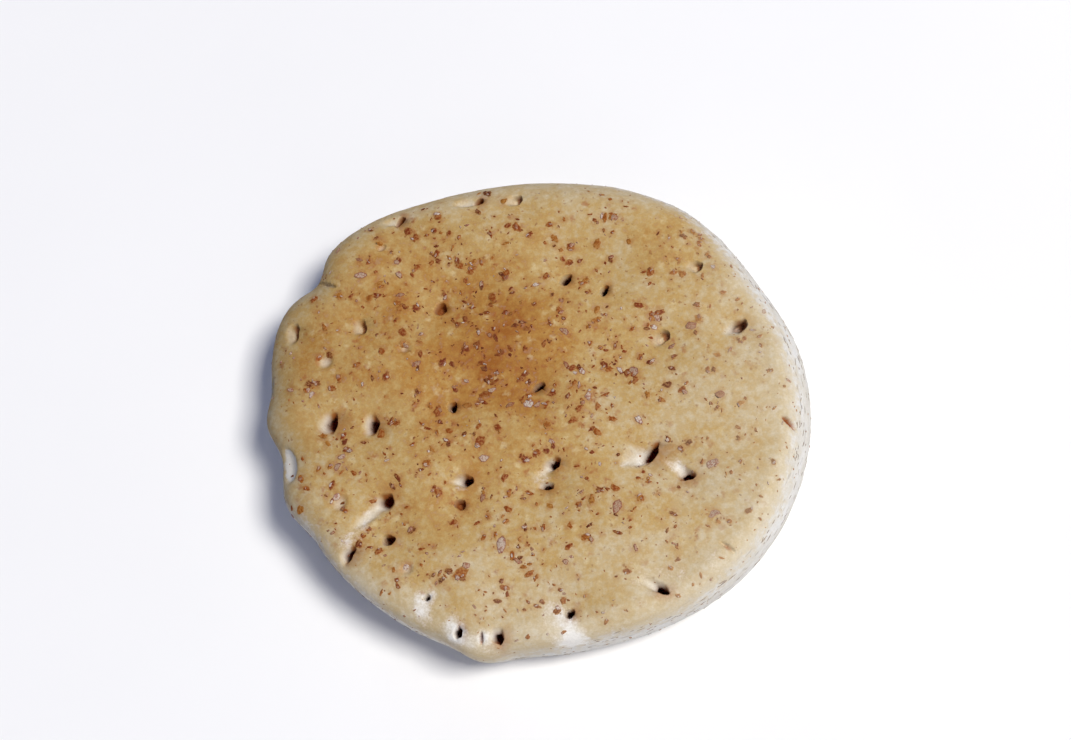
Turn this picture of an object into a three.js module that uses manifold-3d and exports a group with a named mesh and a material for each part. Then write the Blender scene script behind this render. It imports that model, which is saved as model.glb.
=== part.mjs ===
// Hallulla: a flat, slightly oval wholegrain roll, pricked with pins before baking and full of bran.
// One solid, in millimetres. It lies on its flat underside at z = 0 with +Z up, and the origin is the
// bottom centre of its bounding box. Headings and angles are in degrees from +X, counted towards +Y.
import * as THREE from "three";
import { mergeVertices } from "three/addons/utils/BufferGeometryUtils.js";
import Module from "manifold-3d";

// Plan at the waist, the widest height: an oval
const MEAN_RADIUS = 53.2;
const OVAL = 1.4;
const OVAL_HEADING = -4;

// Where the hand-shaped edge swells out or is pressed in: angle and half-width in degrees, push in mm
const SWELLS = [
  { angle: 30, width: 10, push: -1.5 },
  { angle: 62, width: 10, push: 0.7 },
  { angle: 140, width: 16, push: 5.1 },
  { angle: 148, width: 3.5, push: -2.8 },
  { angle: 163, width: 9, push: 2.6 },
  { angle: 182, width: 4, push: 1.9 },
  { angle: 190, width: 4, push: -0.8 },
  { angle: 201, width: 5, push: 1.2 },
  { angle: 211, width: 4, push: -0.6 },
  { angle: 228, width: 16, push: -0.7 },
  { angle: 258, width: 4, push: 1.9 },
  { angle: 285, width: 16, push: -1.7 },
  { angle: 335, width: 16, push: 0.5 },
];
// Swells narrower than this fade out down the foot
const NARROW_SWELL = 6;

// Section: crowned top, rounded shoulder down to the waist, foot tucked in to a flat underside
const THICKNESS = 21;
const CROWN_DROP = 1.2;
const WAIST_HEIGHT = 10.5;
const SHOULDER_WIDTH = 7.5;
const SHOULDER_SPREAD = 2.5;
const SHARP_SHOULDER_HEADING = -10;
const SHOULDER_SQUARENESS = 2.5;
const FOOT_WIDTH = 8;
const FOOT_SQUARENESS = 2.1;
const SHOULDER_RISE = THICKNESS - CROWN_DROP - WAIST_HEIGHT;

// The top has risen askew of the base
const LEAN = 2;
const LEAN_HEADING = 220;

// Broad unevenness of the top: wave length, heading of the wave and height in mm, phase in degrees
const PILLOWS = [
  { length: 31, heading: 20, height: 0.26, phase: 40 },
  { length: 23, heading: 105, height: 0.22, phase: 200 },
  { length: 17, heading: 60, height: 0.16, phase: 310 },
];

// Pin holes: place, radius and depth, flare of the mouth, stretch along a heading, and heading that the
// mouth opens to. Some pins went in a little way only.
const DEEP = 9;
const HALF_DEEP = 4;
const SHALLOW = 2.4;
const DIMPLE = 1.9;
// The mouth slopes down to the shaft over this share of the radius, more on the side it opens to
const WIDE = 0.95;
const NARROW = 0.45;
const LOPSIDED_SHARE = 0.8;
const PIN_HOLES = [
  { x: 5.5, y: 26.0, radius: 0.85, depth: DEEP, flare: NARROW, stretch: 1.3, heading: 35, mouth: 160 },
  { x: 13.5, y: 23.5, radius: 0.65, depth: DEEP, flare: NARROW, stretch: 1.5, heading: 60, mouth: 190 },
  { x: 25.6, y: 12.9, radius: 0.9, depth: DIMPLE, flare: WIDE, stretch: 1.3, heading: 40, mouth: 200 },
  { x: 40.9, y: 15.2, radius: 0.85, depth: HALF_DEEP, flare: WIDE, stretch: 1.8, heading: 40, mouth: 215 },
  { x: -42.2, y: -3.9, radius: 1.0, depth: DEEP, flare: WIDE, stretch: 1.6, heading: 85, mouth: 185 },
  { x: -33.4, y: -4.7, radius: 0.9, depth: DEEP, flare: WIDE, stretch: 1.6, heading: 80, mouth: 185 },
  { x: -17.0, y: -1.5, radius: 0.8, depth: DEEP, flare: NARROW, stretch: 1.1, heading: 45, mouth: 190 },
  { x: 0.5, y: 2.2, radius: 0.65, depth: DEEP, flare: NARROW, stretch: 1.7, heading: 25, mouth: 140 },
  { x: 4.1, y: -14.1, radius: 0.8, depth: DEEP, flare: WIDE, stretch: 1.2, heading: 30, mouth: 175 },
  { x: -13.6, y: -17.2, radius: 0.8, depth: DEEP, flare: WIDE, stretch: 1.3, heading: 15, mouth: 190 },
  { x: 2.6, y: -18.9, radius: 0.5, depth: DEEP, flare: WIDE, stretch: 2.0, heading: 0, mouth: 120 },
  { x: 23.4, y: -12.1, radius: 0.7, depth: DEEP, flare: WIDE, stretch: 2.9, heading: 52, mouth: 190 },
  { x: 30.6, y: -17.0, radius: 0.7, depth: DEEP, flare: WIDE, stretch: 1.7, heading: -15, mouth: 130 },
  { x: -29.9, y: -21.0, radius: 1.1, depth: DEEP, flare: WIDE, stretch: 1.1, heading: 0, mouth: 215 },
  { x: -29.1, y: -29.1, radius: 0.95, depth: DEEP, flare: NARROW, stretch: 1.1, heading: 0, mouth: 200 },
  { x: -37.1, y: -31.9, radius: 0.8, depth: DEEP, flare: WIDE, stretch: 1.5, heading: 62, mouth: 165 },
  { x: -14.7, y: -22.4, radius: 0.85, depth: SHALLOW, flare: NARROW, stretch: 1.1, heading: 0, mouth: 150 },
  { x: -14.4, y: -48.2, radius: 0.65, depth: DEEP, flare: NARROW, stretch: 1.5, heading: 80, mouth: 200 },
  { x: -6.5, y: -49.4, radius: 0.75, depth: DEEP, flare: WIDE, stretch: 1.4, heading: 100, mouth: 130 },
  { x: 7.6, y: -44.9, radius: 0.75, depth: DEEP, flare: NARROW, stretch: 1.1, heading: 0, mouth: 150 },
  { x: 25.6, y: -40.3, radius: 0.65, depth: DEEP, flare: WIDE, stretch: 1.8, heading: -35, mouth: 125 },
  { x: -30.1, y: 41.3, radius: 0.75, depth: SHALLOW, flare: NARROW, stretch: 1.4, heading: 60, mouth: 180 },
  { x: -13.4, y: 45.1, radius: 0.7, depth: SHALLOW, flare: NARROW, stretch: 1.2, heading: 50, mouth: 190 },
  { x: -20.3, y: 20.4, radius: 0.95, depth: SHALLOW, flare: NARROW, stretch: 1.2, heading: 110, mouth: 180 },
  { x: -20.8, y: -41.4, radius: 0.5, depth: HALF_DEEP, flare: NARROW, stretch: 1.2, heading: 140, mouth: 150 },
  { x: -37.0, y: 17.0, radius: 0.9, depth: DIMPLE, flare: WIDE, stretch: 1.2, heading: 80, mouth: 190 },
  { x: -51.3, y: 16.5, radius: 0.85, depth: DIMPLE, flare: WIDE, stretch: 1.5, heading: 75, mouth: 200 },
  { x: -5.4, y: 45.0, radius: 0.8, depth: DIMPLE, flare: WIDE, stretch: 1.2, heading: 20, mouth: 190 },
  { x: 32.4, y: 28.3, radius: 0.8, depth: DIMPLE, flare: WIDE, stretch: 1.2, heading: 30, mouth: 190 },
];
const FLARE_DEPTH = 1.6;
const HOLE_TAPER = 0.7;
// The pins went in askew: sideways shift of the shaft for each mm of depth
const HOLE_SLANT = 0.35;
const HOLE_SLANT_HEADING = 100;
const SINK_DEPTH = 0.55;
const SINK_SPREAD = 3.4;

// Hollows in the crust: pits of bran, valleys that run from a pin hole, and slits. Length lies along
// the heading.
const HOLLOWS = [
  { x: -44.4, y: 9.3, length: 3.8, width: 3.2, depth: 0.9, heading: 20 },
  { x: -27.7, y: 11.4, length: 2.6, width: 2.2, depth: 0.7, heading: 0 },
  { x: -33.8, y: 34.8, length: 2.4, width: 1.8, depth: 0.7, heading: 40 },
  { x: -39.7, y: -21.3, length: 4.0, width: 3.2, depth: 0.8, heading: 60 },
  { x: -25.3, y: -35.6, length: 3.0, width: 2.4, depth: 0.7, heading: 10 },
  { x: 2.3, y: -15.4, length: 5.0, width: 2.4, depth: 0.9, heading: 35 },
  { x: -15.5, y: -17.4, length: 4.4, width: 2.2, depth: 0.8, heading: 5 },
  { x: 20.5, y: -13.0, length: 7.4, width: 3.4, depth: 1.2, heading: 18 },
  { x: 29.1, y: -15.6, length: 4.0, width: 2.2, depth: 0.8, heading: 140 },
  { x: -33.3, y: -23.8, length: 9.4, width: 3.0, depth: 1.1, heading: 38 },
  { x: 23.4, y: -39.2, length: 5.0, width: 2.6, depth: 0.8, heading: 150 },
  { x: -31.9, y: 41.2, length: 4.4, width: 2.4, depth: 0.8, heading: 0 },
  { x: -16.3, y: 44.8, length: 6.0, width: 2.2, depth: 0.9, heading: 5 },
  { x: -9.9, y: -49.8, length: 3.0, width: 0.9, depth: 1.8, heading: 90 },
  { x: 50.9, y: -6.0, length: 5.0, width: 1.35, depth: 1.4, heading: -33 },
  { x: 38.6, y: -32.0, length: 3.9, width: 1.1, depth: 1.2, heading: -35 },
  { x: -45.7, y: 27.2, length: 6.4, width: 1.0, depth: 1.2, heading: -24 },
];

// Dents pressed into the rounded edge: angle, reach down the skin, length round the edge, width, depth
const EDGE_DENTS = [
  { angle: 193, reach: 1.42, length: 8.5, width: 4.4, depth: 1.2 },
  { angle: 174, reach: 1.62, length: 5.0, width: 1.8, depth: 0.9 },
];

// Bran flakes that stand out: place, length and width, with the length at a heading
const LONE_FLAKES = [
  { x: 35.8, y: -25.1, length: 2.6, width: 1.7, heading: 20 },
  { x: 16.8, y: -23.7, length: 3.6, width: 2.1, heading: 80 },
  { x: 35.6, y: -14.6, length: 3.2, width: 2.1, heading: 20 },
  { x: 37.2, y: -0.2, length: 2.2, width: 1.7, heading: 0 },
  { x: 19.4, y: 5.0, length: 2.6, width: 2.1, heading: 70 },
  { x: 31.2, y: 14.9, length: 2.8, width: 1.5, heading: 10 },
  { x: -6.2, y: -31.1, length: 4.2, width: 2.2, heading: 85 },
  { x: -5.5, y: -1.5, length: 2.4, width: 1.0, heading: 30 },
  { x: -10.5, y: 1.0, length: 2.8, width: 1.5, heading: 10 },
  { x: -11.2, y: -9.3, length: 3.8, width: 2.3, heading: 75 },
  { x: -6.2, y: -16.9, length: 2.4, width: 1.8, heading: 40 },
  { x: 24.4, y: 18.0, length: 3.2, width: 1.5, heading: 15 },
  { x: 8.9, y: 25.2, length: 2.2, width: 1.1, heading: 0 },
  { x: 1.7, y: 38.5, length: 1.9, width: 1.5, heading: 45 },
  { x: -14.2, y: -37.0, length: 3.8, width: 2.8, heading: 30 },
];

// Other bran flakes: spread evenly over the top and the upper shoulder by a rule, the largest first
const SPREAD_FLAKES = 66;
const FLAKE_TOP_SHARE = 0.86;
const FLAKE_LOWEST_REACH = 1.45;
const LARGEST_FLAKE = 3.0;
const FLAKE_HALVING = 120;
const FLAKE_WIDTH_SHARE = 0.62;
const FIRST_SCATTER = 0.7548776662;
const SECOND_SCATTER = 0.569840291;
const THIRD_SCATTER = 0.6180339887;
const FLAKE_RISE = 0.42;
const FLAKE_ROOT = 0.5;
const FLAKE_SIDES = 6;
const FLAKE_RAGGEDNESS = 0.2;
const FLAKE_CLEARANCE = 2.4;
// They are smaller towards the right and the front, where the crust is paler
const FLAKE_SHRINK = 0.5;
const PALE_RIGHT = { share: 0.6, from: 5, to: 52 };
const PALE_FRONT = { share: 0.4, from: 20, to: 48 };

// Fineness of the surfaces
const AROUND = 80;
const TOP_RINGS = 12;
const SHOULDER_RINGS = 6;
const FOOT_RINGS = 4;
const UNDERSIDE_RINGS = 2;
const HOLE_SIDES = 10;
const HOLLOW_SIDES = 9;
const HOLLOW_RINGS = 5;
const MERGE_DISTANCE = 1e-4;
const CUT_ABOVE = 1.5;

const CRUST_COLOUR = 0xb9966a;
const CRUST_ROUGHNESS = 0.85;

const UP = new THREE.Vector3(0, 0, 1);
const radians = THREE.MathUtils.degToRad;
const fraction = (value) => value - Math.floor(value);

// Plan radius of the waist at an angle, with a share of the narrow swells
function waistRadius(angle, narrowShare = 1) {
  let radius = MEAN_RADIUS + OVAL * Math.cos(2 * radians(angle - OVAL_HEADING));
  for (const swell of SWELLS) {
    const away = THREE.MathUtils.euclideanModulo(angle - swell.angle + 180, 360) - 180;
    const share = swell.width < NARROW_SWELL ? narrowShare : 1;
    radius += share * swell.push * Math.exp(-0.5 * (away / swell.width) ** 2);
  }
  return radius;
}

// Width of the rounded shoulder at an angle: narrow on the sharp side, broad on the other
function shoulderWidth(angle) {
  return SHOULDER_WIDTH - SHOULDER_SPREAD * Math.cos(radians(angle - SHARP_SHOULDER_HEADING));
}

// Sideways shift of the skin at a height
function leanAt(height) {
  const shift = LEAN * THREE.MathUtils.smoothstep(height, WAIST_HEIGHT, WAIST_HEIGHT + SHOULDER_RISE);
  const heading = radians(LEAN_HEADING);
  return new THREE.Vector2(shift * Math.cos(heading), shift * Math.sin(heading));
}

// Unevenness of the top at a place: pillows, and a soft sink round each pin hole
function reliefAt(x, y) {
  let height = 0;
  for (const pillow of PILLOWS) {
    const along = x * Math.cos(radians(pillow.heading)) + y * Math.sin(radians(pillow.heading));
    height += pillow.height * Math.sin((2 * Math.PI * along) / pillow.length + radians(pillow.phase));
  }
  for (const hole of PIN_HOLES) {
    const away = Math.hypot(x - hole.x, y - hole.y);
    height -= SINK_DEPTH * Math.exp(-0.5 * (away / SINK_SPREAD) ** 2);
  }
  return height;
}

// Section at an angle. Reach runs 0 to 1 over the top, to 2 down the shoulder to the waist, to 3 down
// the foot and to 4 back to the middle of the underside. Fade is how much of the relief applies there.
function sectionAt(angle, reach) {
  const waist = waistRadius(angle, THREE.MathUtils.clamp(3 - reach, 0, 1));
  const shoulder = shoulderWidth(angle);
  const zone = Math.min(Math.floor(reach), 3);
  const part = reach - zone;
  const turn = (part * Math.PI) / 2;
  if (zone === 0) {
    return { radius: part * (waist - shoulder), height: THICKNESS - CROWN_DROP * part ** 2, fade: 1 };
  }
  if (zone === 1) {
    const power = 2 / SHOULDER_SQUARENESS;
    return {
      radius: waist - shoulder + shoulder * Math.sin(turn) ** power,
      height: WAIST_HEIGHT + SHOULDER_RISE * Math.max(Math.cos(turn), 0) ** power,
      fade: 1 - part,
    };
  }
  if (zone === 2) {
    const power = 2 / FOOT_SQUARENESS;
    return {
      radius: waist - FOOT_WIDTH + FOOT_WIDTH * Math.max(Math.cos(turn), 0) ** power,
      height: WAIST_HEIGHT * (1 - Math.sin(turn) ** power),
      fade: 0,
    };
  }
  return { radius: (1 - part) * (waist - FOOT_WIDTH), height: 0, fade: 0 };
}

// Point of the skin at an angle and reach
function skinAt(angle, reach) {
  const { radius, height, fade } = sectionAt(angle, reach);
  const lean = leanAt(height);
  const x = radius * Math.cos(radians(angle)) + lean.x;
  const y = radius * Math.sin(radians(angle)) + lean.y;
  return new THREE.Vector3(x, y, height + fade * reliefAt(x, y));
}

// Outward direction of the skin at an angle and reach
function outwardAt(angle, reach) {
  const step = Math.min(0.02, reach);
  const down = skinAt(angle, reach + step).sub(skinAt(angle, reach - step));
  const round = skinAt(angle + 1, reach).sub(skinAt(angle - 1, reach));
  return down.cross(round).normalize();
}

// Angle and reach of the skin under a place seen from above
function placeOnTop(x, y) {
  const lean = leanAt(THICKNESS);
  const angle = THREE.MathUtils.radToDeg(Math.atan2(y - lean.y, x - lean.x));
  const radius = Math.hypot(x - lean.x, y - lean.y);
  const flat = waistRadius(angle) - shoulderWidth(angle);
  if (radius <= flat) return { angle, reach: radius / flat };
  const over = Math.min((radius - flat) / shoulderWidth(angle), 1);
  const turn = Math.asin(over ** (SHOULDER_SQUARENESS / 2));
  return { angle, reach: 1 + (2 * turn) / Math.PI };
}

const wasm = await Module();
wasm.setup();

// Solid of a closed geometry
function solid(geometry) {
  geometry.deleteAttribute("normal");
  geometry.deleteAttribute("uv");
  const merged = mergeVertices(geometry, MERGE_DISTANCE);
  const corners = merged.index.array;
  const kept = [];
  for (let i = 0; i < corners.length; i += 3) {
    const [a, b, c] = corners.slice(i, i + 3);
    if (a !== b && b !== c && c !== a) kept.push(a, b, c);
  }
  return new wasm.Manifold(
    new wasm.Mesh({
      numProp: 3,
      vertProperties: merged.attributes.position.array,
      triVerts: new Uint32Array(kept),
    }),
  );
}

// Geometry of a solid
function geometryOf(body) {
  const mesh = body.getMesh();
  const geometry = new THREE.BufferGeometry();
  geometry.setAttribute("position", new THREE.BufferAttribute(mesh.vertProperties, 3));
  geometry.setIndex(new THREE.BufferAttribute(mesh.triVerts, 1));
  return geometry;
}

// Geometry of rings of points that are closed at both ends by a point
function ringGeometry(first, rings, last) {
  const count = rings[0].length;
  const points = [first, ...rings.flat(), last];
  const faces = [];
  const corner = (ring, i) => 1 + ring * count + (i % count);
  for (let i = 0; i < count; i++) {
    faces.push(0, corner(0, i), corner(0, i + 1));
    for (let ring = 0; ring + 1 < rings.length; ring++) {
      faces.push(corner(ring, i), corner(ring + 1, i), corner(ring + 1, i + 1));
      faces.push(corner(ring, i), corner(ring + 1, i + 1), corner(ring, i + 1));
    }
    faces.push(points.length - 1, corner(rings.length - 1, i + 1), corner(rings.length - 1, i));
  }
  const geometry = new THREE.BufferGeometry().setFromPoints(points);
  geometry.setIndex(faces);
  return geometry;
}

// Reaches of the rings, from the middle of the top to the middle of the underside
function ringReaches() {
  const reaches = [];
  const zones = [TOP_RINGS, SHOULDER_RINGS, FOOT_RINGS, UNDERSIDE_RINGS];
  zones.forEach((count, zone) => {
    for (let ring = 1; ring <= count; ring++) reaches.push(zone + ring / count);
  });
  return reaches.slice(0, -1);
}

// Roll without holes
function rollSolid() {
  const rings = ringReaches().map((reach) =>
    Array.from({ length: AROUND }, (_, i) => skinAt((360 * i) / AROUND, reach)),
  );
  return solid(ringGeometry(skinAt(0, 0), rings, skinAt(0, 4)));
}

// Ring of points round a pin hole at a level above the skin, at a distance from its axis for each turn
function holeRing({ x, y, stretch, heading }, ground, level, distanceAt) {
  const slant = HOLE_SLANT * Math.max(-level - FLARE_DEPTH, 0);
  const slantHeading = radians(HOLE_SLANT_HEADING);
  const centre = new THREE.Vector2(x + slant * Math.cos(slantHeading), y + slant * Math.sin(slantHeading));
  return Array.from({ length: HOLE_SIDES }, (_, i) => {
    const turn = (2 * Math.PI * i) / HOLE_SIDES;
    const distance = distanceAt(turn);
    const place = new THREE.Vector2(stretch * distance * Math.cos(turn), distance * Math.sin(turn));
    place.rotateAround(new THREE.Vector2(), radians(heading)).add(centre);
    return new THREE.Vector3(place.x, place.y, ground + level);
  });
}

// Middle of a ring
function middleOf(ring) {
  return ring.reduce((sum, point) => sum.add(point), new THREE.Vector3()).divideScalar(ring.length);
}

// Pin hole: a slanted shaft under a mouth that opens more to one side
function pinHoleCutter(hole) {
  const { x, y, radius, depth, flare, heading, mouth } = hole;
  const { angle, reach } = placeOnTop(x, y);
  const ground = skinAt(angle, reach).z;
  const opening = (turn) => Math.cos(turn + radians(heading - mouth));
  const mouthAt = (turn) => radius * (1 + flare * (1 + LOPSIDED_SHARE * opening(turn)));
  const rings = [
    holeRing(hole, ground, CUT_ABOVE, (turn) => mouthAt(turn) + CUT_ABOVE),
    holeRing(hole, ground, 0, mouthAt),
    holeRing(hole, ground, -FLARE_DEPTH, () => radius),
    holeRing(hole, ground, -depth, () => HOLE_TAPER * radius),
  ];
  return solid(ringGeometry(middleOf(rings[0]), rings, middleOf(rings.at(-1))));
}

// Geometry moved from the origin onto the skin, its +Z turned outwards and its +X to a heading
function laidOnSkin(geometry, angle, reach, heading) {
  const place = skinAt(angle, reach);
  geometry.rotateZ(radians(heading));
  geometry.applyQuaternion(new THREE.Quaternion().setFromUnitVectors(UP, outwardAt(angle, reach)));
  geometry.translate(place.x, place.y, place.z);
  return solid(geometry);
}

// Round-bottomed hollow
function hollowCutter({ length, width, depth }, angle, reach, heading) {
  const cutter = new THREE.SphereGeometry(0.5, HOLLOW_SIDES, HOLLOW_RINGS);
  cutter.rotateX(Math.PI / 2);
  cutter.scale(length, width, 2 * depth);
  return laidOnSkin(cutter, angle, reach, heading);
}

// Bran flake: a ragged chip, highest in the middle and rooted in the skin
function flakeSolid({ length, width, heading }, angle, reach) {
  const rim = Array.from({ length: FLAKE_SIDES }, (_, i) => {
    const turn = (2 * Math.PI * i) / FLAKE_SIDES;
    const ragged = 1 - FLAKE_RAGGEDNESS * fraction(heading * SECOND_SCATTER + i * THIRD_SCATTER);
    const place = new THREE.Vector3(0.5 * length * Math.cos(turn), 0.5 * width * Math.sin(turn), 0);
    return place.multiplyScalar(ragged);
  });
  const chip = ringGeometry(new THREE.Vector3(0, 0, FLAKE_RISE), [rim], new THREE.Vector3(0, 0, -FLAKE_ROOT));
  return laidOnSkin(chip, angle, reach, heading);
}

// Whether a place seen from above is clear of the pin holes and hollows
function isClear(x, y) {
  return [...PIN_HOLES, ...HOLLOWS].every((mark) => Math.hypot(x - mark.x, y - mark.y) > FLAKE_CLEARANCE);
}

// How pale the top is at a place, from 0 to 1
function pallorAt(x, y) {
  const right = THREE.MathUtils.smoothstep(x, PALE_RIGHT.from, PALE_RIGHT.to);
  const front = THREE.MathUtils.smoothstep(-y, PALE_FRONT.from, PALE_FRONT.to);
  return PALE_RIGHT.share * right + PALE_FRONT.share * front;
}

// Flakes spread by the rule, without those that would lie in a pin hole or a hollow
function spreadFlakes() {
  const flakes = [];
  for (let i = 0; i < SPREAD_FLAKES; i++) {
    const angle = 360 * fraction(i * FIRST_SCATTER);
    const share = fraction(i * SECOND_SCATTER);
    const beyond = (share - FLAKE_TOP_SHARE) / (1 - FLAKE_TOP_SHARE);
    const reach =
      share < FLAKE_TOP_SHARE ? Math.sqrt(share / FLAKE_TOP_SHARE) : 1 + beyond * (FLAKE_LOWEST_REACH - 1);
    const place = skinAt(angle, reach);
    if (!isClear(place.x, place.y)) continue;
    const shrink = 1 - FLAKE_SHRINK * pallorAt(place.x, place.y);
    const length = (shrink * LARGEST_FLAKE) / (1 + i / FLAKE_HALVING);
    const heading = 360 * fraction(i * THIRD_SCATTER);
    flakes.push(flakeSolid({ length, width: FLAKE_WIDTH_SHARE * length, heading }, angle, reach));
  }
  return flakes;
}

// The whole roll: cut by the pin holes, hollows and dents, with the flakes grown on
function hallullaSolid() {
  const cutters = PIN_HOLES.map(pinHoleCutter);
  for (const hollow of HOLLOWS) {
    const { angle, reach } = placeOnTop(hollow.x, hollow.y);
    cutters.push(hollowCutter(hollow, angle, reach, hollow.heading));
  }
  for (const dent of EDGE_DENTS) {
    cutters.push(hollowCutter(dent, dent.angle, dent.reach, dent.angle + 90));
  }
  const flakes = spreadFlakes();
  for (const flake of LONE_FLAKES) {
    const { angle, reach } = placeOnTop(flake.x, flake.y);
    flakes.push(flakeSolid(flake, angle, reach));
  }
  return rollSolid().subtract(wasm.Manifold.union(cutters)).add(wasm.Manifold.union(flakes));
}

// The roll as a mesh, with the bottom centre of its bounding box at the origin
function hallullaMesh() {
  const geometry = geometryOf(hallullaSolid());
  geometry.computeBoundingBox();
  const centre = geometry.boundingBox.getCenter(new THREE.Vector3());
  geometry.translate(-centre.x, -centre.y, -geometry.boundingBox.min.z);
  geometry.computeVertexNormals();
  const material = new THREE.MeshStandardMaterial({
    color: CRUST_COLOUR,
    roughness: CRUST_ROUGHNESS,
    metalness: 0,
  });
  const mesh = new THREE.Mesh(geometry, material);
  mesh.name = "hallulla";
  return mesh;
}

const hallulla = new THREE.Group();
hallulla.add(hallullaMesh());

export default hallulla;
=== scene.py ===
"""Looks of the hallulla: a dense crust in place of the CAD solid, bran flakes and specks, a pale floor,
soft light and the camera. Lengths are in millimetres until a mesh is made, and angles in degrees."""

import math
from typing import NamedTuple

import bpy
import numpy as np
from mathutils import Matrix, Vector
from mathutils.bvhtree import BVHTree
from mathutils.geometry import delaunay_2d_cdt
from mathutils.kdtree import KDTree


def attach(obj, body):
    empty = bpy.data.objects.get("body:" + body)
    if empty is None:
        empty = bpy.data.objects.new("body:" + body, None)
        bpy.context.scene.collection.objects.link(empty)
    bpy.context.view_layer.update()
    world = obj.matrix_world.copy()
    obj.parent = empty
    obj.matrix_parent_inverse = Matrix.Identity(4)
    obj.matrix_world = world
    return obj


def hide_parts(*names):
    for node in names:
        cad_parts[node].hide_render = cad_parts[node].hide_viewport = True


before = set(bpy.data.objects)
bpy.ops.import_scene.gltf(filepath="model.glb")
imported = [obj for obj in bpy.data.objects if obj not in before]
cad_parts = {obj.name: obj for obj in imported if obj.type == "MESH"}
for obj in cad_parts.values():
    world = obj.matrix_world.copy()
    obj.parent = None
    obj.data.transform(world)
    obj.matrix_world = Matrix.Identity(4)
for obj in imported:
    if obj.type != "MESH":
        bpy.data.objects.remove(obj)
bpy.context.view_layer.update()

MM = 0.001
SEED = 1920
NOISE_TABLE = 256

# Plan at the waist: an oval with swells of angle, half-width and push
MEAN_RADIUS = 53.2
OVAL = 1.4
OVAL_HEADING = -4
SWELLS = [
    (30, 10, -1.5), (62, 10, 0.7), (140, 16, 5.1), (148, 3.5, -2.8), (163, 9, 2.6),
    (182, 4, 1.9), (190, 4, -0.8), (201, 5, 1.2), (211, 4, -0.6), (228, 16, -0.7),
    (258, 4, 1.9), (285, 16, -1.7), (335, 16, 0.5),
]
# Narrower swells fade out down the foot
NARROW_SWELL = 6

# Section: crowned top, rounded shoulder down to the waist, foot tucked in to a flat underside
THICKNESS = 21
CROWN_DROP = 1.2
WAIST_HEIGHT = 10.5
SHOULDER_WIDTH = 7.5
SHOULDER_SPREAD = 2.5
SHARP_SHOULDER_HEADING = -10
SHOULDER_SQUARENESS = 2.5
FOOT_WIDTH = 8
FOOT_SQUARENESS = 2.1
SHOULDER_RISE = THICKNESS - CROWN_DROP - WAIST_HEIGHT
LEAN = 2
LEAN_HEADING = 220

# Broad unevenness of the top: wave length, heading, height and phase
PILLOWS = [(31, 20, 0.26, 40), (23, 105, 0.22, 200), (17, 60, 0.16, 310)]

# Finer unevenness of the crust: size, height and number of finer sizes
ROUGHNESS = [(7, 0.16, 3), (1.6, 0.05, 2)]
# Seams along the side: noise at which one starts and is full, and its depth
SEAM_SIZE = 0.9
SEAM_STRETCH = 6
SEAM_NOISE = (0.25, 0.6, 0.16)
SEAM_REACH = (1.4, 1.8)
# Height below which the foot gets smooth
SMOOTH_HEIGHT = 3
# Underside: noise at which a pock starts and is full, and its depth, size, mean and swing of the browning
# and the flour, and where it fades and turns pale towards its edge
POCK_SIZE = 3
POCK_NOISE = (0.1, 0.7, 0.25)
POCKED_SHARE = 0.95
UNDERSIDE_BROWNING = (12, 0.62, 0.3)
UNDERSIDE_FLOUR = (7, 0.3, 0.9)
UNDERSIDE_MOST_FLOUR = 0.8
UNDERSIDE_FADE = (0.8, 1, 0.25)
UNDERSIDE_PALE = (0.88, 1)


class PinHole(NamedTuple):
    """A pin hole, stretched along a heading, with a flared mouth that opens to another heading."""

    x: float
    y: float
    radius: float
    depth: float
    flare: float
    stretch: float
    heading: float
    mouth: float


DEEP = 9
HALF_DEEP = 4
SHALLOW = 2.4
DIMPLE = 1.9
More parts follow.
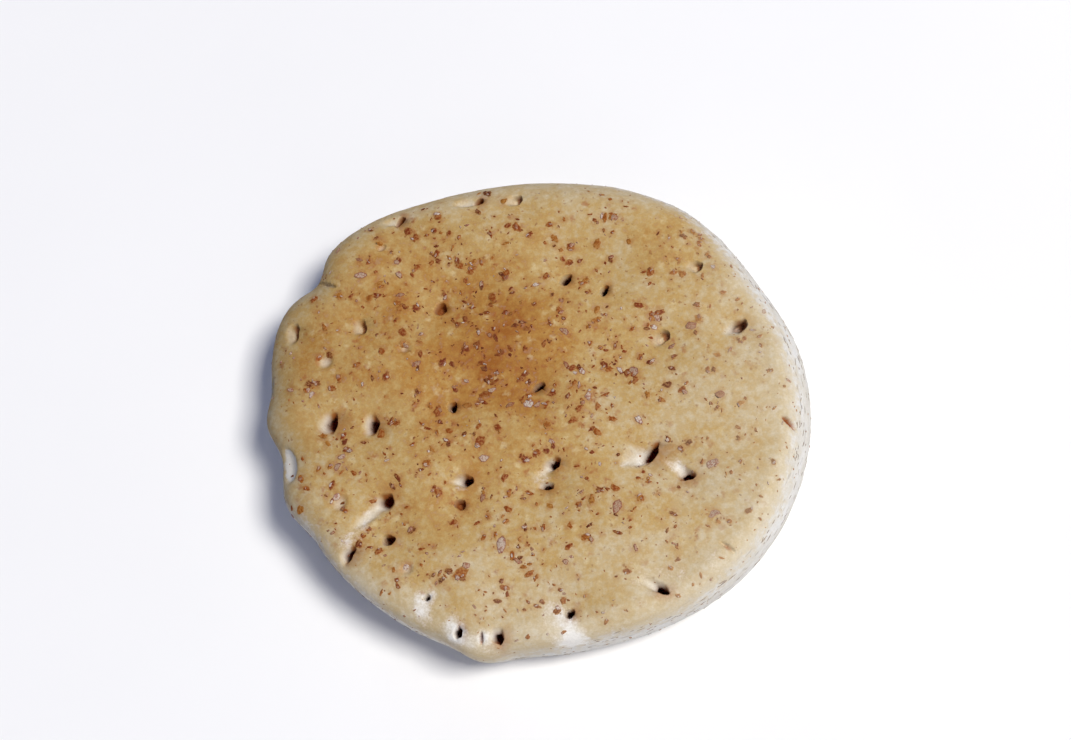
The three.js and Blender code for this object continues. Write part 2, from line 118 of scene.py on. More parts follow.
# A mouth slopes down to the shaft over this share of the radius, more on the side it opens to
WIDE = 0.95
NARROW = 0.45
LOPSIDED_SHARE = 0.8
PIN_HOLES = [PinHole(*row) for row in (
    (5.5, 26.0, 0.85, DEEP, NARROW, 1.3, 35, 160),
    (13.5, 23.5, 0.65, DEEP, NARROW, 1.5, 60, 190),
    (25.6, 12.9, 0.9, DIMPLE, WIDE, 1.3, 40, 200),
    (40.9, 15.2, 0.85, HALF_DEEP, WIDE, 1.8, 40, 215),
    (-42.2, -3.9, 1.0, DEEP, WIDE, 1.6, 85, 185),
    (-33.4, -4.7, 0.9, DEEP, WIDE, 1.6, 80, 185),
    (-17.0, -1.5, 0.8, DEEP, NARROW, 1.1, 45, 190),
    (0.5, 2.2, 0.65, DEEP, NARROW, 1.7, 25, 140),
    (4.1, -14.1, 0.8, DEEP, WIDE, 1.2, 30, 175),
    (-13.6, -17.2, 0.8, DEEP, WIDE, 1.3, 15, 190),
    (2.6, -18.9, 0.5, DEEP, WIDE, 2.0, 0, 120),
    (23.4, -12.1, 0.7, DEEP, WIDE, 2.9, 52, 190),
    (30.6, -17.0, 0.7, DEEP, WIDE, 1.7, -15, 130),
    (-29.9, -21.0, 1.1, DEEP, WIDE, 1.1, 0, 215),
    (-29.1, -29.1, 0.95, DEEP, NARROW, 1.1, 0, 200),
    (-37.1, -31.9, 0.8, DEEP, WIDE, 1.5, 62, 165),
    (-14.7, -22.4, 0.85, SHALLOW, NARROW, 1.1, 0, 150),
    (-14.4, -48.2, 0.65, DEEP, NARROW, 1.5, 80, 200),
    (-6.5, -49.4, 0.75, DEEP, WIDE, 1.4, 100, 130),
    (7.6, -44.9, 0.75, DEEP, NARROW, 1.1, 0, 150),
    (25.6, -40.3, 0.65, DEEP, WIDE, 1.8, -35, 125),
    (-30.1, 41.3, 0.75, SHALLOW, NARROW, 1.4, 60, 180),
    (-13.4, 45.1, 0.7, SHALLOW, NARROW, 1.2, 50, 190),
    (-20.3, 20.4, 0.95, SHALLOW, NARROW, 1.2, 110, 180),
    (-20.8, -41.4, 0.5, HALF_DEEP, NARROW, 1.2, 140, 150),
    (-37.0, 17.0, 0.9, DIMPLE, WIDE, 1.2, 80, 190),
    (-51.3, 16.5, 0.85, DIMPLE, WIDE, 1.5, 75, 200),
    (-5.4, 45.0, 0.8, DIMPLE, WIDE, 1.2, 20, 190),
    (32.4, 28.3, 0.8, DIMPLE, WIDE, 1.2, 30, 190),
)]
FLARE_DEPTH = 1.6
FLARE_POWER = 1.7
HOLE_TAPER = 0.7
HOLE_SLANT = 0.35
HOLE_SLANT_HEADING = 100
SINK_DEPTH = 0.55
SINK_SPREAD = 3.4
# Waves round a hole's ragged wall: how many, how high, and the turn from one hole to the next
RAGGED_WAVES = [(2, 0.1, 1), (3, 0.07, 2.3), (5, 0.05, 4.1)]


class Hollow(NamedTuple):
    """A hollow in the crust with its length along a heading. Slits are toasted and darkened by painted
    shade, other hollows pale.
    """

    x: float
    y: float
    length: float
    width: float
    depth: float
    heading: float
    toast: float = 0


HOLLOWS = [Hollow(*row) for row in (
    (-44.4, 9.3, 3.8, 3.2, 0.9, 20),
    (-27.7, 11.4, 2.6, 2.2, 0.7, 0),
    (-33.8, 34.8, 2.4, 1.8, 0.7, 40),
    (-39.7, -21.3, 4.0, 3.2, 0.8, 60),
    (-25.3, -35.6, 3.0, 2.4, 0.7, 10),
    (2.3, -15.4, 5.0, 2.4, 0.9, 35),
    (-15.5, -17.4, 4.4, 2.2, 0.8, 5),
    (20.5, -13.0, 7.4, 3.4, 1.2, 18),
    (29.1, -15.6, 4.0, 2.2, 0.8, 140),
    (-33.3, -23.8, 9.4, 3.0, 1.1, 38),
    (23.4, -39.2, 5.0, 2.6, 0.8, 150),
    (-31.9, 41.2, 4.4, 2.4, 0.8, 0),
    (-16.3, 44.8, 6.0, 2.2, 0.9, 5),
    (-9.9, -49.8, 3.0, 0.9, 1.8, 90, 1),
    (50.9, -6.0, 5.0, 1.35, 1.4, -33, 1),
    (38.6, -32.0, 3.9, 1.1, 1.2, -35, 0.6),
    (-45.7, 27.2, 6.4, 1.0, 1.2, -24, 0.4),
)]
HOLLOW_POWER = 0.8
# Depths at which marks start and are full, and their strength if it isn't 1
HOLLOW_PALE = (0.3, 1.1, 0.7)
SLIT_TOAST = (0.3, 0.9)
# Painted shade in the depth of a slit
SLIT_SHADE = (0.8, 1.4, 0.4)
EDGE_DENT_FLOUR = (0.1, 0.8)

# Dents in the rounded edge: angle, reach, length round the edge, width and depth
EDGE_DENTS = [(193, 1.42, 8.5, 4.4, 1.2), (174, 1.62, 5.0, 1.8, 0.9)]

# Bran flakes that stand out or lie in hollows: x, y, length, width and heading
PALE_FLAKES = [
    (35.8, -25.1, 2.6, 1.7, 20), (16.8, -23.7, 3.6, 2.1, 80), (35.6, -14.6, 3.2, 2.1, 20),
    (37.2, -0.2, 2.2, 1.7, 0), (19.4, 5.0, 2.6, 2.1, 70), (31.2, 14.9, 2.8, 1.5, 10),
    (-6.2, -31.1, 4.2, 2.2, 85), (-5.5, -1.5, 2.4, 1.0, 30), (-39.9, -20.2, 2.6, 1.7, 20),
    (-39.2, -22.3, 2.0, 1.6, 70), (-25.4, -35.3, 2.6, 1.9, 40),
]
DARK_FLAKES = [
    (-10.5, 1.0, 2.8, 1.5, 10), (-11.2, -9.3, 3.8, 2.3, 75), (-6.2, -16.9, 2.4, 1.8, 40),
    (24.4, 18.0, 3.2, 1.5, 15), (8.9, 25.2, 2.2, 1.1, 0), (1.7, 38.5, 1.9, 1.5, 45),
    (-14.2, -37.0, 3.8, 2.8, 30), (-45.6, 10.1, 2.7, 1.5, 35), (-43.6, 10.7, 3.0, 1.7, -25),
    (-27.8, 12.3, 2.2, 1.6, 20), (-33.9, 35.5, 2.6, 1.5, -35), (-41.0, -20.8, 1.8, 0.9, 60),
    (-38.5, -22.9, 1.8, 0.9, -20), (-39.3, -21.2, 1.5, 0.8, 10),
]

# Other flakes: the steady ones lie by a rule, the loose ones by chance and some of them in clusters
STEADY_FLAKES = 66
FLAKE_TOP_SHARE = 0.86
FLAKE_LOWEST_REACH = 1.45
LARGEST_FLAKE = 3.0
FLAKE_HALVING = 120
FLAKE_WIDTH_SHARE = 0.62
FIRST_SCATTER = 0.7548776662
SECOND_SCATTER = 0.569840291
THIRD_SCATTER = 0.6180339887
FLAKE_CLEARANCE = 2.4
LOOSE_FLAKES = 800
LOOSE_LONGEST = 2.6
LOOSE_SHORTEST = 0.5
LOOSE_POWER = 2.0
LOOSE_WIDTH = (0.34, 0.8)
CLUSTER_SHARE = 0.3
CLUSTER_SPREAD = 1.5
# Where more loose flakes lie: x, y, spread and number
BRAN_PATCHES = [(-9, 12, 11, 90), (-28, 33, 10, 60), (8, -6, 10, 30)]
# The crust is paler, partly painted light, and flakes are smaller towards the right and the front: start,
# end and strength
PALE_RIGHT = (5, 52, 0.6)
PALE_FRONT = (20, 48, 0.4)
FLAKE_SHRINK = 0.5
PALE_EVERY = 9
# Smaller pale flakes on the larger dark ones: share and least length of those that bear any, the length
# beyond it for each, their size and spread as shares, and how high they lie
CAPPED_SHARE = 0.6
CAPPED_LENGTH = 1.2
CAP_EVERY = 1
CAP_SIZE = (0.35, 0.7)
CAP_SPREAD = 0.25
CAP_LIFT = 0.06

# Fine bran: specks anywhere, and dashes that lie in rows along the side, at reaches beyond its start
SPECKS = 800
SPECK_SIZE = (0.3, 0.8)
PALE_SPECKS = 320
PALE_SPECK_SIZE = (0.4, 1.1)
DASHES = 500
DASH_ROWS = (0.06, 0.15, 0.26, 0.4, 0.6)
DASH_ROW_SPREAD = 0.035
DASH_TILT = 12
DASH_LENGTH = (0.6, 2.4)
DASH_WIDTH = (0.2, 0.36)

# Form of one flake: shares of its size and height at its two rings, how ragged and rounded its rim is,
# how far points stray along the rim, depth of its root, least height, and range of its rise
CHIP_RINGS = ((0.6, 1), (1, 0.25))
CHIP_RAGGEDNESS = (0.5, 1.2)
CHIP_ROUNDING = 0.1
CHIP_TURN = 0.3
CHIP_ROOT = 0.3
CHIP_LEAST_LIFT = 0.02
CHIP_RISE = (0.6, 1.4)
# Sides, rise and tilt of the flakes of each kind
DARK_CHIP = (11, 0.11, 0.05)
PALE_CHIP = (9, 0.13, 0.12)
DASH_CHIP = (6, 0.04, 0)
SPECK_CHIP = (6, 0.05, 0)
SHARP_ANGLE = 25
# How far a flake stains the crust beside it
STAIN_REACH = 1.1

# Fineness of the crust mesh
CELL = 0.5
CELL_JITTER = 0.1
EDGE_MARGIN = 0.6
UNDERSIDE_CELL = 1.1
EDGE_POINTS = 620
CLOSEST_POINTS = 0.06
SAME_PLACE = 1e-7
HOLE_POINTS = 24
HOLE_CLEARING = 0.9
WALL_SHARES = (0.35, HOLE_TAPER, 0.78, 0.86, 0.93, 1)
SLOPE_SHARES = (0.14, 0.3, 0.5, 0.75, 1, 1.3)
NARROW_HOLLOW = 4 * CELL
HOLLOW_POINTS = 20
HOLLOW_SHARES = (0, 0.3, 0.55, 0.75, 0.9, 1, 1.15)
HOLE_LOWEST_REACH = 1.9

# Distance over the skin from the middle of the top to the ends of the top, shoulder and foot
SKIN_REACH = [0, 1, 2, 3]
SKIN_DISTANCE = [0, 46, 59, 73]

# Browning of the top: its mean, its broad and fine mottle, and how much its patches vary
BROWN_BASE = 0.42
BROAD_MOTTLE = 16
BROAD_SWING = 0.1
FINE_MOTTLE = 5
FINE_SWING = 0.06
PATCH_SWING = 0.5
# Where it starts to fade and is most faded, and by how much: in dents, towards the rim, where it is pale
DENT_FADE = (0.1, 0.9, 0.1)
RIM_FADE = (0.85, 1.5, 0.16)
PALE_FADE = 0.28
# Patches of it: x, y, spread and strength
BROWN_PATCHES = [
    (-8.5, 11.5, 6, 0.3), (-10, 12, 13, 0.24), (6, 10, 14, 0.06), (-15, -6, 10, 0.1),
    (27, 36, 7, 0.2), (-37, 10, 12, 0.09), (-50, 14, 7, 0.1), (-36, 38, 8, 0.1),
    (-24, -31, 9, 0.07), (-2, -16, 8, 0.02), (-24, 26, 12, 0.06),
]
# Flour lying on the top: size, mean and swing of its mottle, where it thins out, and patches of it
FLOUR_MOTTLE = (3, 0.85, 0.4)
FLOUR_END = (1.7, 2.1)
FLOUR_PATCHES = [
    (-22.0, -41.8, 1.8, 0.85), (-19.6, -40.8, 1.0, 0.6), (-21.2, -44.8, 1.6, 0.55),
    (-16, -48, 2.0, 0.8), (-12.3, -49.9, 1.6, 0.7), (-8.8, -49.9, 1.6, 0.75),
    (4.6, -45.0, 3.0, 0.5), (8.2, -49.4, 2.3, 1.25), (22, -38, 3.0, 0.44), (27, -38.5, 2.4, 0.45),
    (36, -34, 3.0, 0.38), (21.4, -13.2, 1.4, 0.4), (19.4, -14.0, 1.3, 0.4),
    (17.8, -14.7, 1.0, 0.35), (28.6, -15.0, 1.4, 0.6), (0.8, -16.5, 1.7, 0.65),
    (-16, -18.0, 1.6, 0.5), (-33.5, -24.5, 2.2, 0.4), (-36.2, -26.8, 1.6, 0.45),
    (-38.4, -29.4, 1.4, 0.5),
]
# How toasted holes are and how strong the painted shade in them is, partly a darker baked inside, from
# dimples to deep ones
HOLE_DEPTHS = [DIMPLE, SHALLOW, HALF_DEEP, DEEP]
HOLE_TOASTED = [0, 1, 0.25, 1]
HOLE_SHADE_SHARE = [0, 0.3, 0.8, 1]
# Where marks of a hole start and are full, and their strength if it isn't 1
OPEN_SIDE = (0, 0.9)
CLOSED_SIDE = (-0.6, 0.2)
PALE_SLOPE = (0, 0.9)
TOASTED_SLOPE = (0, 0.6)
# Painted shade in a hole's mouth, on the closed side of dimples and half-deep holes, and down the shaft
MOUTH_SHADE_SLOPE = (0.6, 1, 0.4)
SHADED_SLOPE = (0.3, 1, 0.65)
SHAFT_SHADE_DEPTH = (2, 6)
# Toasted crust round a hole, and paleness of narrow and wide mouths and of dimples; the pale open wall
# faces the key light, so its paleness is partly painted light
TOAST_SPREAD = 0.8
RIM_TOAST = 0.6
MOUTH_PALENESS = [0.3, 0.85]
DIMPLE_PALENESS = 0.5

# Angles with the reach at which the floury side starts there; its early start round the front also paints
# light on the front rim
SIDE_STARTS = [
    (-180, 1.9), (-150, 1.54), (-130, 1.7), (-112, 1.95), (-98, 2.12), (-84, 1.92), (-70, 1.74),
    (-58, 1.82), (-40, 1.7), (-25, 1.66), (-10, 1.46), (10, 1.5), (30, 1.5),
    (45, 1.6), (60, 1.75), (90, 1.95),
]
SIDE_EDGE = 0.36
SIDE_WANDER = 0.07
# Painted shade darkens the rim round one heading, the side away from the key light
RIM_SHADE_HEADING = 178
RIM_SHADE_POWER = 8
RIM_SHADE_REACH = (0.7, 1.3)


def tone(red, green, blue):
    """Linear colour of an sRGB colour of 0 to 255."""
    values = [channel / 255 for channel in (red, green, blue)]
    return tuple(v / 12.92 if v <= 0.04045 else ((v + 0.055) / 1.055) ** 2.4 for v in values) + (1,)


# Colours
BROWNING = [
    (0, tone(205, 192, 165)),
    (0.25, tone(193, 172, 132)),
    (0.45, tone(184, 152, 94)),
    (0.7, tone(170, 124, 58)),
    (1, tone(149, 90, 28)),
]
SIDE_WHITE = tone(218, 216, 211)
SIDE_CREAM = tone(208, 203, 192)
CRACK = tone(122, 106, 92)
FLOUR_WHITE = tone(236, 233, 226)
HOLE_PALE = tone(217, 210, 196)
HOLE_TOAST = tone(148, 82, 26)
# Painted shade in holes and slits, which ramps to a red-brown at the deepest
HOLE_SHADE_TONE = tone(108, 30, 12)
HOLE_RED = tone(232, 112, 60)
RUST = tone(150, 80, 36)
DARK_RUST = tone(124, 64, 30)
CREAM = tone(216, 198, 152)
BRAN_DARK = tone(100, 38, 6)
# Smudges on the top: cell, largest radius and softness as shares of it, strength and colour
SMUDGES = [(2.4, 0.5, 0.5, 0.5, CREAM), (2.6, 0.42, 0.36, 0.6, RUST), (1.2, 0.36, 0.26, 0.6, DARK_RUST)]
# Waves in a cell that a smudge's edge wobbles in, and how far as a share of the cell
SMUDGE_WAVES = 2.4
SMUDGE_WOBBLE = 0.9
# Noise in the materials: size, detail, roughness and stretch
GRAIN = (0.4, 3, 0.6)
FINE = (1.3, 4, 0.6)
MEDIUM = (4.5, 4, 0.55)
SIDE_PATCHES = (3, 4, 0.6, (0.4, 0.4, 1))
SIDE_CRACKS = (0.8, 3, 0.6, (0.16, 0.16, 1))
BRAN_GRAIN = (0.5, 3, 0.6)
FLOOR_CLOUDS = (60, 3, 0.5)
BUMP_HEIGHT = 0.1

# Floor and lights, in metres and watts: heading, height angle, distance, size, power and colour
FLOOR_SIZE = 6
LIGHTS = {
    "key": (-12, 62, 3, 0.9, 92, (1, 0.98, 0.94)),
    "front": (-70, 28, 3, 2.4, 14, (1, 0.98, 0.95)),
    "fill": (105, 45, 3, 2.4, 8, (0.82, 0.89, 1)),
}
WORLD_COLOUR = (0.42, 0.52, 1, 1)
WORLD_STRENGTH = 0.2
# Camera: its tilt from straight above, and the pixel of the photograph that shows the centre of the view
VIEW_TILT = 23
VIEW_HEADING = -70
VIEW_DISTANCE = 511
VIEW_CENTRE = (1.5, -3.2, 19.0)
LENS = 85
SENSOR = 36
PHOTO_WIDTH, PHOTO_HEIGHT = 1071, 740
PHOTO_CENTRE = (539, 416)


def ramp(value, low, high, height=1):
    """Smooth ramp from 0 to a height while a value goes from low to high."""
    part = np.clip((value - low) / (high - low), 0, 1)
    return height * (part * part * (3 - 2 * part))


def bell(distance, spread):
    return np.exp(-0.5 * (distance / spread) ** 2)


def toward(heading):
    return math.cos(math.radians(heading)), math.sin(math.radians(heading))


def polar(x, y):
    return np.degrees(np.arctan2(y, x)), np.hypot(x, y)


def full_turn(count):
    return np.linspace(0, 2 * math.pi, count, endpoint=False)


def lattice_noise(points, size, seed):
    """Smooth noise from -1 to 1 at points, with features of a size."""
    table = np.random.default_rng(seed).permutation(NOISE_TABLE)
    cell = np.floor(points / size).astype(int)
    part = points / size - cell
    part = part * part * (3 - 2 * part)
    total = np.zeros(len(points))
    for corner in np.ndindex(2, 2, 2):
        value = np.zeros(len(points), int)
        for index in (cell + corner).T:
            value = table[(value + index) % NOISE_TABLE]
        weight = np.prod(np.where(np.array(corner) == 1, part, 1 - part), axis=1)
        total += weight * (2 * value / (NOISE_TABLE - 1) - 1)
    return total


def rough_noise(points, size, seed, octaves=3):
    """Noise of several sizes, each half as large and as strong as the one before."""
    total = sum(
        lattice_noise(points, size / 2**octave, seed + octave) / 2**octave for octave in range(octaves)
    )
    return total / (2 - 2 ** (1 - octaves))


def mottle(points, seed, size, mean, swing):
    return mean + swing * rough_noise(points, size, seed)


# Form of the roll


def waist_radius(angle, narrow_share=1):
    radius = MEAN_RADIUS + OVAL * np.cos(2 * np.radians(angle - OVAL_HEADING))
    for swell_angle, width, push in SWELLS:
        away = (angle - swell_angle + 180) % 360 - 180
        share = narrow_share if width < NARROW_SWELL else 1
        radius = radius + share * push * bell(away, width)
    return radius


def shoulder_width(angle):
    return SHOULDER_WIDTH - SHOULDER_SPREAD * np.cos(np.radians(angle - SHARP_SHOULDER_HEADING))


def lean_at(height):
    shift = ramp(height, WAIST_HEIGHT, WAIST_HEIGHT + SHOULDER_RISE, LEAN)
    right, up = toward(LEAN_HEADING)
    return shift * right, shift * up


def relief_at(x, y):
    """Pillows of the top, and a soft sink round each pin hole."""
    height = np.zeros_like(x)
    for length, heading, swing, phase in PILLOWS:
        right, up = toward(heading)
        height += swing * np.sin(2 * math.pi * (x * right + y * up) / length + math.radians(phase))
    for hole in PIN_HOLES:
        height -= SINK_DEPTH * bell(np.hypot(x - hole.x, y - hole.y), SINK_SPREAD)
    return height


def skin_at(angle, reach):
    """Points of the skin. Reach runs 0 to 1 over the top, to 2 down the shoulder, to 3 down the foot
    and to 4 back to the middle of the underside."""
    angle, reach = np.broadcast_arrays(np.asarray(angle, float), np.asarray(reach, float))
    waist = waist_radius(angle, np.clip(3 - reach, 0, 1))
    shoulder = shoulder_width(angle)
    zone = np.clip(np.floor(reach), 0, 3)
    part = reach - zone
    up = np.clip(np.sin(part * math.pi / 2), 0, 1)
    down = np.clip(np.cos(part * math.pi / 2), 0, 1)
    round_top, round_foot = 2 / SHOULDER_SQUARENESS, 2 / FOOT_SQUARENESS
    zones = [zone == 0, zone == 1, zone == 2, zone == 3]
    radius = np.select(zones, [
        part * (waist - shoulder),
        waist - shoulder + shoulder * up**round_top,
        waist - FOOT_WIDTH + FOOT_WIDTH * down**round_foot,
        (1 - part) * (waist - FOOT_WIDTH),
    ])
    height = np.select(zones, [
        THICKNESS - CROWN_DROP * part**2,
        WAIST_HEIGHT + SHOULDER_RISE * down**round_top,
        WAIST_HEIGHT * (1 - up**round_foot),
        0 * part,
    ])
    lean_x, lean_y = lean_at(height)
    x = radius * np.cos(np.radians(angle)) + lean_x
    y = radius * np.sin(np.radians(angle)) + lean_y
    return np.stack([x, y, height + np.clip(2 - reach, 0, 1) * relief_at(x, y)], axis=-1)


def outward_at(angle, reach):
    step = 0.02
    down = skin_at(angle, reach + step) - skin_at(angle, max(reach - step, 0))
    round_it = skin_at(angle + 1, reach) - skin_at(angle - 1, reach)
    return Vector(np.cross(down, round_it)).normalized()


def place_on_top(x, y):
    """Angle and reach of the skin under places seen from above."""
    lean_x, lean_y = lean_at(THICKNESS)
    angle, radius = polar(x - lean_x, y - lean_y)
    flat = waist_radius(angle) - shoulder_width(angle)
    over = np.clip((radius - flat) / shoulder_width(angle), 0, 1)
    turn = np.arcsin(over ** (SHOULDER_SQUARENESS / 2))
    return angle, np.where(radius <= flat, radius / flat, 1 + 2 * turn / math.pi)


def directions_on(normal, heading):
    """Direction of a heading in a surface with a normal, and the direction across it."""
    turn = Vector((0, 0, 1)).rotation_difference(normal)
    along = turn @ Vector((*toward(heading), 0))
    return along, normal.cross(along)


def hollow_places():
    """Each hollow and dent: place, the two directions in the skin, and its sizes."""
    marks = []
    for hollow in HOLLOWS:
        angle, reach = (float(value) for value in place_on_top(hollow.x, hollow.y))
        marks.append((angle, reach, hollow.heading, hollow.length, hollow.width, hollow.depth))
    for angle, reach, length, width, depth in EDGE_DENTS:
        marks.append((angle, reach, angle + 90, length, width, depth))
    places = []
    for angle, reach, heading, *sizes in marks:
        along, across = directions_on(outward_at(angle, reach), heading)
        places.append((Vector(skin_at(angle, reach)), along, across, *sizes))
    return places


# Pin holes


def hole_raggedness(index, turn):
    return 1 + sum(swing * np.sin(count * turn + step * index) for count, swing, step in RAGGED_WAVES)


def hole_opening(hole, turn):
    """1 on the side of a hole that its mouth opens to, and -1 on the other side."""
    return np.cos(turn + math.radians(hole.heading - hole.mouth))


def hole_slope(hole, turn):
    """Width of the slope from a hole's mouth down to its shaft."""
    return hole.radius * hole.flare * (1 + LOPSIDED_SHARE * hole_opening(hole, turn))


def hole_place(index, hole, x, y):
    """Distance from a hole's axis and turn round it, with the stretch and the raggedness taken out."""
    right, up = toward(hole.heading)
    along = ((x - hole.x) * right + (y - hole.y) * up) / hole.stretch
    across = (y - hole.y) * right - (x - hole.x) * up
    turn = np.arctan2(across, along)
    return np.hypot(along, across) / hole_raggedness(index, turn), turn


def hole_rings(index, hole):
    """Flat places of rings round a pin hole, closest on its wall."""
    right, up = toward(hole.heading)
    turn = full_turn(HOLE_POINTS)
    wall = [hole.radius * share for share in WALL_SHARES]
    slope = [hole.radius + share * hole_slope(hole, turn) for share in SLOPE_SHARES]
    places = [np.array([[hole.x, hole.y]])]
    for distance in wall + slope:
        away = distance * hole_raggedness(index, turn)
        along, across = hole.stretch * away * np.cos(turn), away * np.sin(turn)
        x = hole.x + along * right - across * up
        y = hole.y + along * up + across * right
        places.append(np.stack([x, y], axis=-1))
    return domain_of(*place_on_top(*np.concatenate(places).T))


def hole_marks(x, y):
    """Depth of places in the pin holes and in their shafts, how pale and toasted they are, and their
    painted shade.
    """
    marks = {name: np.zeros_like(x) for name in ("depth", "shaft", "pale", "toast", "painted_hole_shade")}
    for index, hole in enumerate(PIN_HOLES):
        away, turn = hole_place(index, hole, x, y)
        opening = hole_opening(hole, turn)
        wall = np.clip((hole.radius - away) / (hole.radius * (1 - HOLE_TAPER)), 0, 1)
        shaft = (hole.depth - FLARE_DEPTH) * wall
        slope = np.clip(1 - (away - hole.radius) / hole_slope(hole, turn), 0, 1)
        depth = FLARE_DEPTH * slope**FLARE_POWER + shaft
        beyond = (1 - hole.radius / np.maximum(away, hole.radius)) * np.hypot(x - hole.x, y - hole.y)
        paleness = np.interp(hole.flare, [NARROW, WIDE], MOUTH_PALENESS)
        if hole.depth == DIMPLE:
            paleness *= DIMPLE_PALENESS
        closed = ramp(-opening, *CLOSED_SIDE)
        rim_toast = RIM_TOAST * bell(beyond, TOAST_SPREAD)
        toast = closed * np.maximum(rim_toast, ramp(slope, *TOASTED_SLOPE))
        toasted_wall = slope if hole.depth == SHALLOW else wall
        toasted = np.interp(hole.depth, HOLE_DEPTHS, HOLE_TOASTED)
        # Painted shade in the mouth and down the shaft, partly a darker baked inside
        inner_shade = np.maximum(ramp(slope, *MOUTH_SHADE_SLOPE), ramp(depth, *SHAFT_SHADE_DEPTH))
        inner_shade *= np.interp(hole.depth, HOLE_DEPTHS, HOLE_SHADE_SHARE)
        shade = closed * ramp(slope, *SHADED_SLOPE)
        found = {
            "depth": depth,
            "shaft": shaft,
            # Pale crumb on the open wall, partly painted light where that wall faces the key
            "pale": paleness * ramp(slope, *PALE_SLOPE) * ramp(opening, *OPEN_SIDE),
            "toast": toasted * np.maximum(toast, toasted_wall),
            "painted_hole_shade": np.maximum(inner_shade, shade) if hole.depth in (DIMPLE, HALF_DEEP) else inner_shade,
        }
        for name, values in found.items():
            marks[name] = np.maximum(marks[name], values)
    return marks


# Crust mesh


def domain_of(angle, reach):
    """Flat place of a place on the skin: its distance over the skin from the middle of the top."""
    distance = np.interp(reach, SKIN_REACH, SKIN_DISTANCE)
    return np.stack([distance * np.cos(np.radians(angle)), distance * np.sin(np.radians(angle))], axis=-1)


def lattice(radius, cell, rng):
    """Triangular lattice over a disc, a little jittered."""
    steps = int(radius / cell) + 2
    across, along = np.meshgrid(np.arange(-steps, steps + 1), np.arange(-2 * steps, 2 * steps + 1))
    points = np.stack([(across + 0.5 * (along % 2)) * cell, along * cell * math.sqrt(0.75)], axis=-1)
    points = points.reshape(-1, 2)
    points = points + rng.normal(0, CELL_JITTER * cell, points.shape)
    return points[np.hypot(points[:, 0], points[:, 1]) < radius - EDGE_MARGIN * cell]


def edge_ring(radius):
    turn = full_turn(EDGE_POINTS)
    return radius * np.stack([np.cos(turn), np.sin(turn)], axis=-1)


def hollow_rings(place, along, across, length, width):
    """Flat places of rings over a hollow that is too narrow for the lattice."""
    places = []
    for share in HOLLOW_SHARES:
        for turn in full_turn(max(3, round(HOLLOW_POINTS * share))):
            aside = across * (0.5 * width * share * math.sin(turn))
            at = place + along * (0.5 * length * share * math.cos(turn)) + aside
            places.append((at.x, at.y))
    return domain_of(*place_on_top(*np.array(places).T))


def thinned(points):
    """Points without those that share a tiny square with an earlier one."""
    squares = np.round(points / CLOSEST_POINTS).astype(int)
    _, first = np.unique(squares, axis=0, return_index=True)
    return points[np.sort(first)]


def triangulated(points):
    flat, _, faces, *_ = delaunay_2d_cdt([Vector(p) for p in points], [], [], 0, SAME_PLACE, False)
    return np.array([tuple(p) for p in flat]), np.array(faces)


def upper_skin(rng, hollows):
    """Flat places and triangles of the crust down to the edge of the underside."""
    edge = SKIN_DISTANCE[-1]
    points = lattice(edge, CELL, rng)
    rings = []
    for index, hole in enumerate(PIN_HOLES):
        ring = hole_rings(index, hole)
        centre = ring[0]
        clear = np.linalg.norm(ring - centre, axis=1).max()
        points = points[np.linalg.norm(points - centre, axis=1) > HOLE_CLEARING * clear]
        rings.append(ring)
    for place, along, across, length, width, _ in hollows[: len(HOLLOWS)]:
        if width < NARROW_HOLLOW:
            rings.append(hollow_rings(place, along, across, length, width))
    return triangulated(thinned(np.concatenate([edge_ring(edge), *rings, points])))


def hollow_depth(points, hollows):
    """Depth of points in the hollows and dents."""
    depth = np.zeros(len(points))
    for place, along, across, length, width, deep in hollows:
        away = points - np.array(place)
        spread = 2 * np.hypot(away @ np.array(along) / length, away @ np.array(across) / width)
        near = np.linalg.norm(away, axis=1) < length
        depth = np.maximum(depth, np.where(near, deep * np.clip(1 - spread**2, 0, 1) ** HOLLOW_POWER, 0))
    return depth


def face_normals(corners):
    return np.cross(corners[:, 1] - corners[:, 0], corners[:, 2] - corners[:, 0])


def vertex_normals(points, faces):
    normals = face_normals(points[faces])
    total = np.zeros_like(points)
    for column in range(3):
        np.add.at(total, faces[:, column], normals)
    return total / np.linalg.norm(total, axis=1, keepdims=True)


def patches_at(patches, x, y):
    total = np.zeros_like(x)
    for patch_x, patch_y, spread, strength in patches:
        total += strength * bell(np.hypot(x - patch_x, y - patch_y), spread)
    return total


def side_start(angle):
    """Reach at which the floury side starts."""
    angles, reaches = zip(*SIDE_STARTS)
    return np.interp(angle, angles, reaches, period=360)


def pallor_at(x, y):
    """How pale the top is, from 0 to 1, partly real and partly painted light towards the right and the
    front.
    """
    return ramp(x, *PALE_RIGHT) + ramp(-y, *PALE_FRONT)


